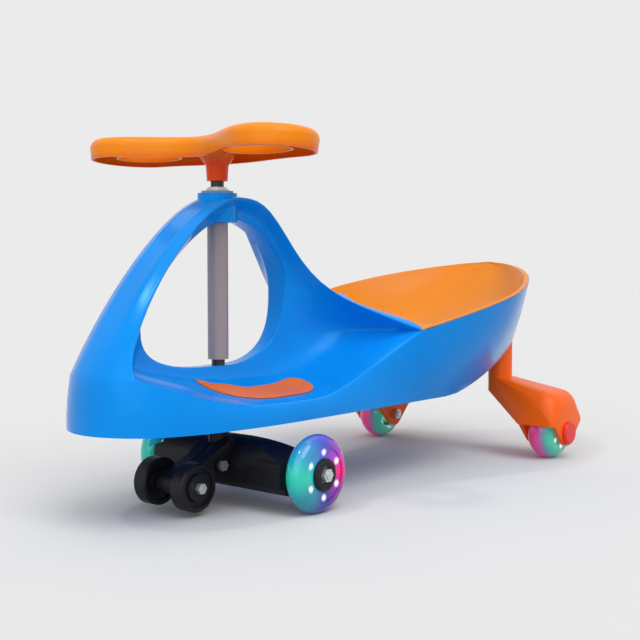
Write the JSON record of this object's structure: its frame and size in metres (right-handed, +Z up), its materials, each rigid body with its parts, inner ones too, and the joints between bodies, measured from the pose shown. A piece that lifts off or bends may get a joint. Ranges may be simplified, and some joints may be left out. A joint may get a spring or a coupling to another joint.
{
  "type": "wiggle car",
  "caption": "Ride-on wiggle car: arched moulded body with a dished seat, butterfly steering wheel on a column, swivelling front bogie with stabilisers, and lit wheels on splayed rear legs.",
  "frame": {"origin": "on the ground, under the middle of the bounding box", "axes": "+X forward over the nose, +Y to the rider's left, +Z up"},
  "size_m": [0.728, 0.342, 0.3918],
  "materials": {
    "body": "gloss blue moulding",
    "seat": "gloss orange moulding",
    "legs": "gloss red-orange moulding",
    "caps": "gloss red",
    "black": "satin black moulding",
    "bush": "white nylon",
    "sleeve": "satin grey tube",
    "steel": "zinc-plated steel",
    "shaft": "black painted steel",
    "tyre": "clear polyurethane",
    "core": "translucent white core",
    "board": "light ring",
    "magnet": "dark ferrite"
  },
  "bodies": {
    "car_body": {"body_shell": "body", "seat_panel": "seat", "seat_screws": "steel", "upper_bush": "bush", "lower_bush": "bush", "rear_leg_left": "legs", "rear_leg_right": "legs", "leg_screws": "steel", "rear_axle_left": "steel", "rear_axle_right": "steel", "rear_axle_nuts": "steel", "rear_axle_caps": "caps", "rear_magnet_left": "magnet", "rear_magnet_right": "magnet"},
    "steering": {"steering_shaft": "shaft", "column_sleeve": "sleeve", "upper_washer": "steel", "retaining_ring": "steel", "thrust_washer": "steel", "steering_wheel": "seat", "steering_screw": "steel", "steering_cap": "seat", "front_bogie": "black", "pinch_bolt": "steel", "pinch_nut": "steel", "front_axle": "steel", "front_axle_nuts": "steel", "front_spacers": "steel", "front_magnet_left": "magnet", "front_magnet_right": "magnet", "stabiliser_axle": "steel", "stabiliser_nuts": "steel"},
    "front_wheel_left": {"front_tyre_left": "tyre", "front_core_left": "core", "front_light_ring_left": "board", "front_bearings_left": "steel", "front_cap_left": "black"},
    "front_wheel_right": {"front_tyre_right": "tyre", "front_core_right": "core", "front_light_ring_right": "board", "front_bearings_right": "steel", "front_cap_right": "black"},
    "rear_wheel_left": {"rear_tyre_left": "tyre", "rear_core_left": "core", "rear_light_ring_left": "board", "rear_bearings_left": "steel"},
    "rear_wheel_right": {"rear_tyre_right": "tyre", "rear_core_right": "core", "rear_light_ring_right": "board", "rear_bearings_right": "steel"},
    "stabiliser_left": {"stabiliser_wheel_left": "black"},
    "stabiliser_right": {"stabiliser_wheel_right": "black"}
  },
  "joints": [
    {"name": "steering_turn", "type": "hinge", "parent": "car_body", "child": "steering", "pos_m": [0.184, 0, 0.2], "axis": [0, 0, 1], "continuous": true},
    {"name": "front_wheel_left_roll", "type": "hinge", "parent": "steering", "child": "front_wheel_left", "pos_m": [0.153, 0.1105, 0.041], "axis": [0, 1, 0], "continuous": true},
    {"name": "front_wheel_right_roll", "type": "hinge", "parent": "steering", "child": "front_wheel_right", "pos_m": [0.153, -0.1105, 0.041], "axis": [0, 1, 0], "continuous": true},
    {"name": "rear_wheel_left_roll", "type": "hinge", "parent": "car_body", "child": "rear_wheel_left", "pos_m": [-0.289, 0.139, 0.035], "axis": [0, 1, 0], "continuous": true},
    {"name": "rear_wheel_right_roll", "type": "hinge", "parent": "car_body", "child": "rear_wheel_right", "pos_m": [-0.289, -0.139, 0.035], "axis": [0, 1, 0], "continuous": true},
    {"name": "stabiliser_left_roll", "type": "hinge", "parent": "steering", "child": "stabiliser_left", "pos_m": [0.248, 0.0275, 0.031], "axis": [0, 1, 0], "continuous": true},
    {"name": "stabiliser_right_roll", "type": "hinge", "parent": "steering", "child": "stabiliser_right", "pos_m": [0.248, -0.0275, 0.031], "axis": [0, 1, 0], "continuous": true}
  ]
}
